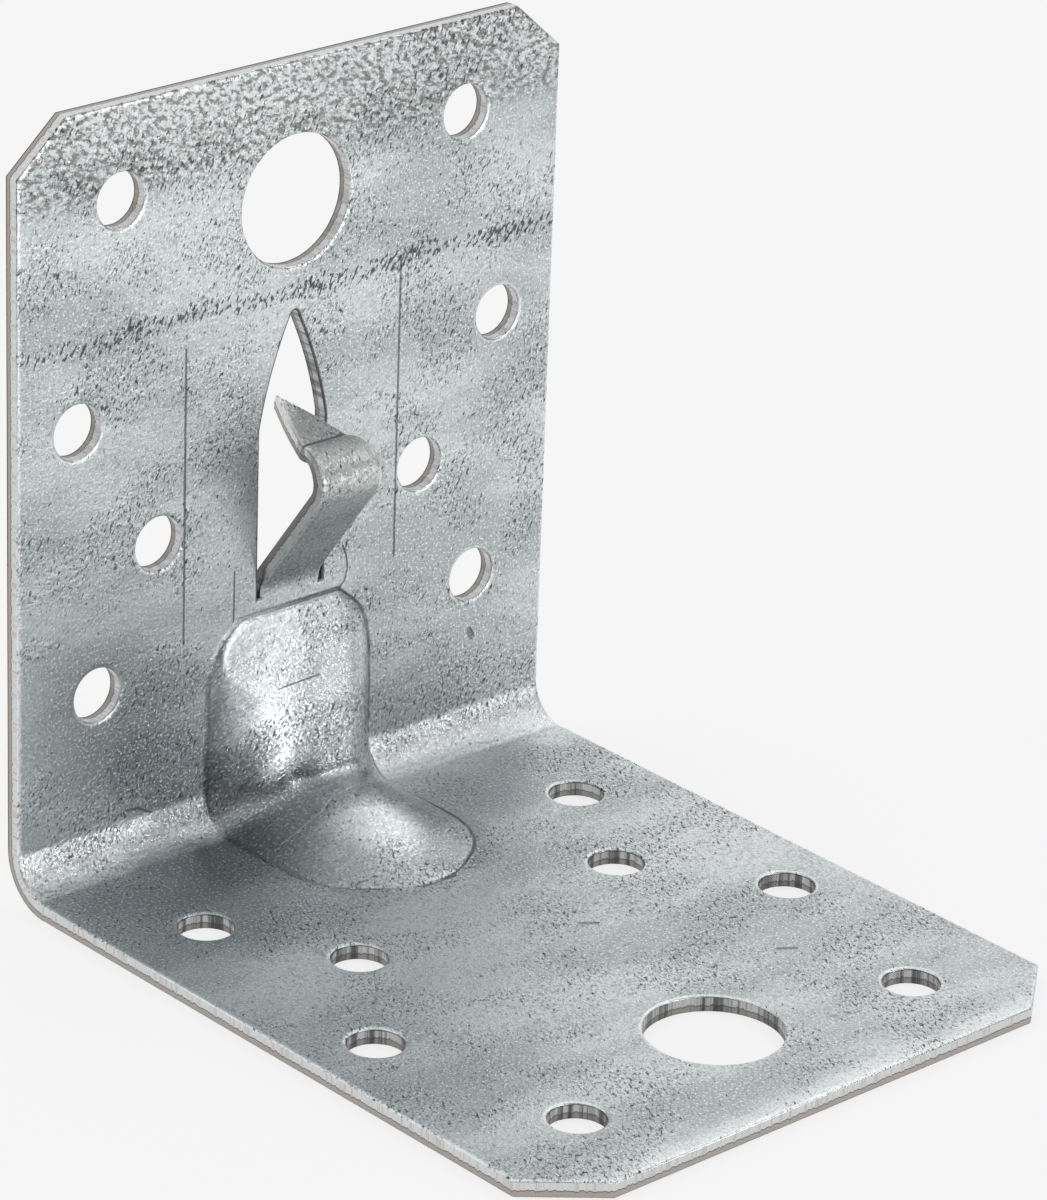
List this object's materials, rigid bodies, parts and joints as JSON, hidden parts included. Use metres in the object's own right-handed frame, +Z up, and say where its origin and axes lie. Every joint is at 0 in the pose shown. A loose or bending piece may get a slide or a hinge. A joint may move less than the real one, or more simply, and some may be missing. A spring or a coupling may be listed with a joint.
{
  "type": "reinforced angle bracket",
  "caption": "Folded sheet-steel angle bracket with equal legs, nail holes, a bolt hole in each leg, a bead pressed across the fold and a lanced tongue on the upright.",
  "frame": {"origin": "middle of the footprint, on the underside of the base leg", "axes": "+Z up along the upright leg, +Y out of the back face of the upright leg, the base leg runs towards -Y, X across the bracket"},
  "size_m": [0.06, 0.0722, 0.071],
  "materials": {
    "galvanised_steel": "galvanised, finely speckled, slightly dull"
  },
  "bodies": {
    "root": {"angle_bracket": "galvanised_steel"}
  },
  "joints": []
}
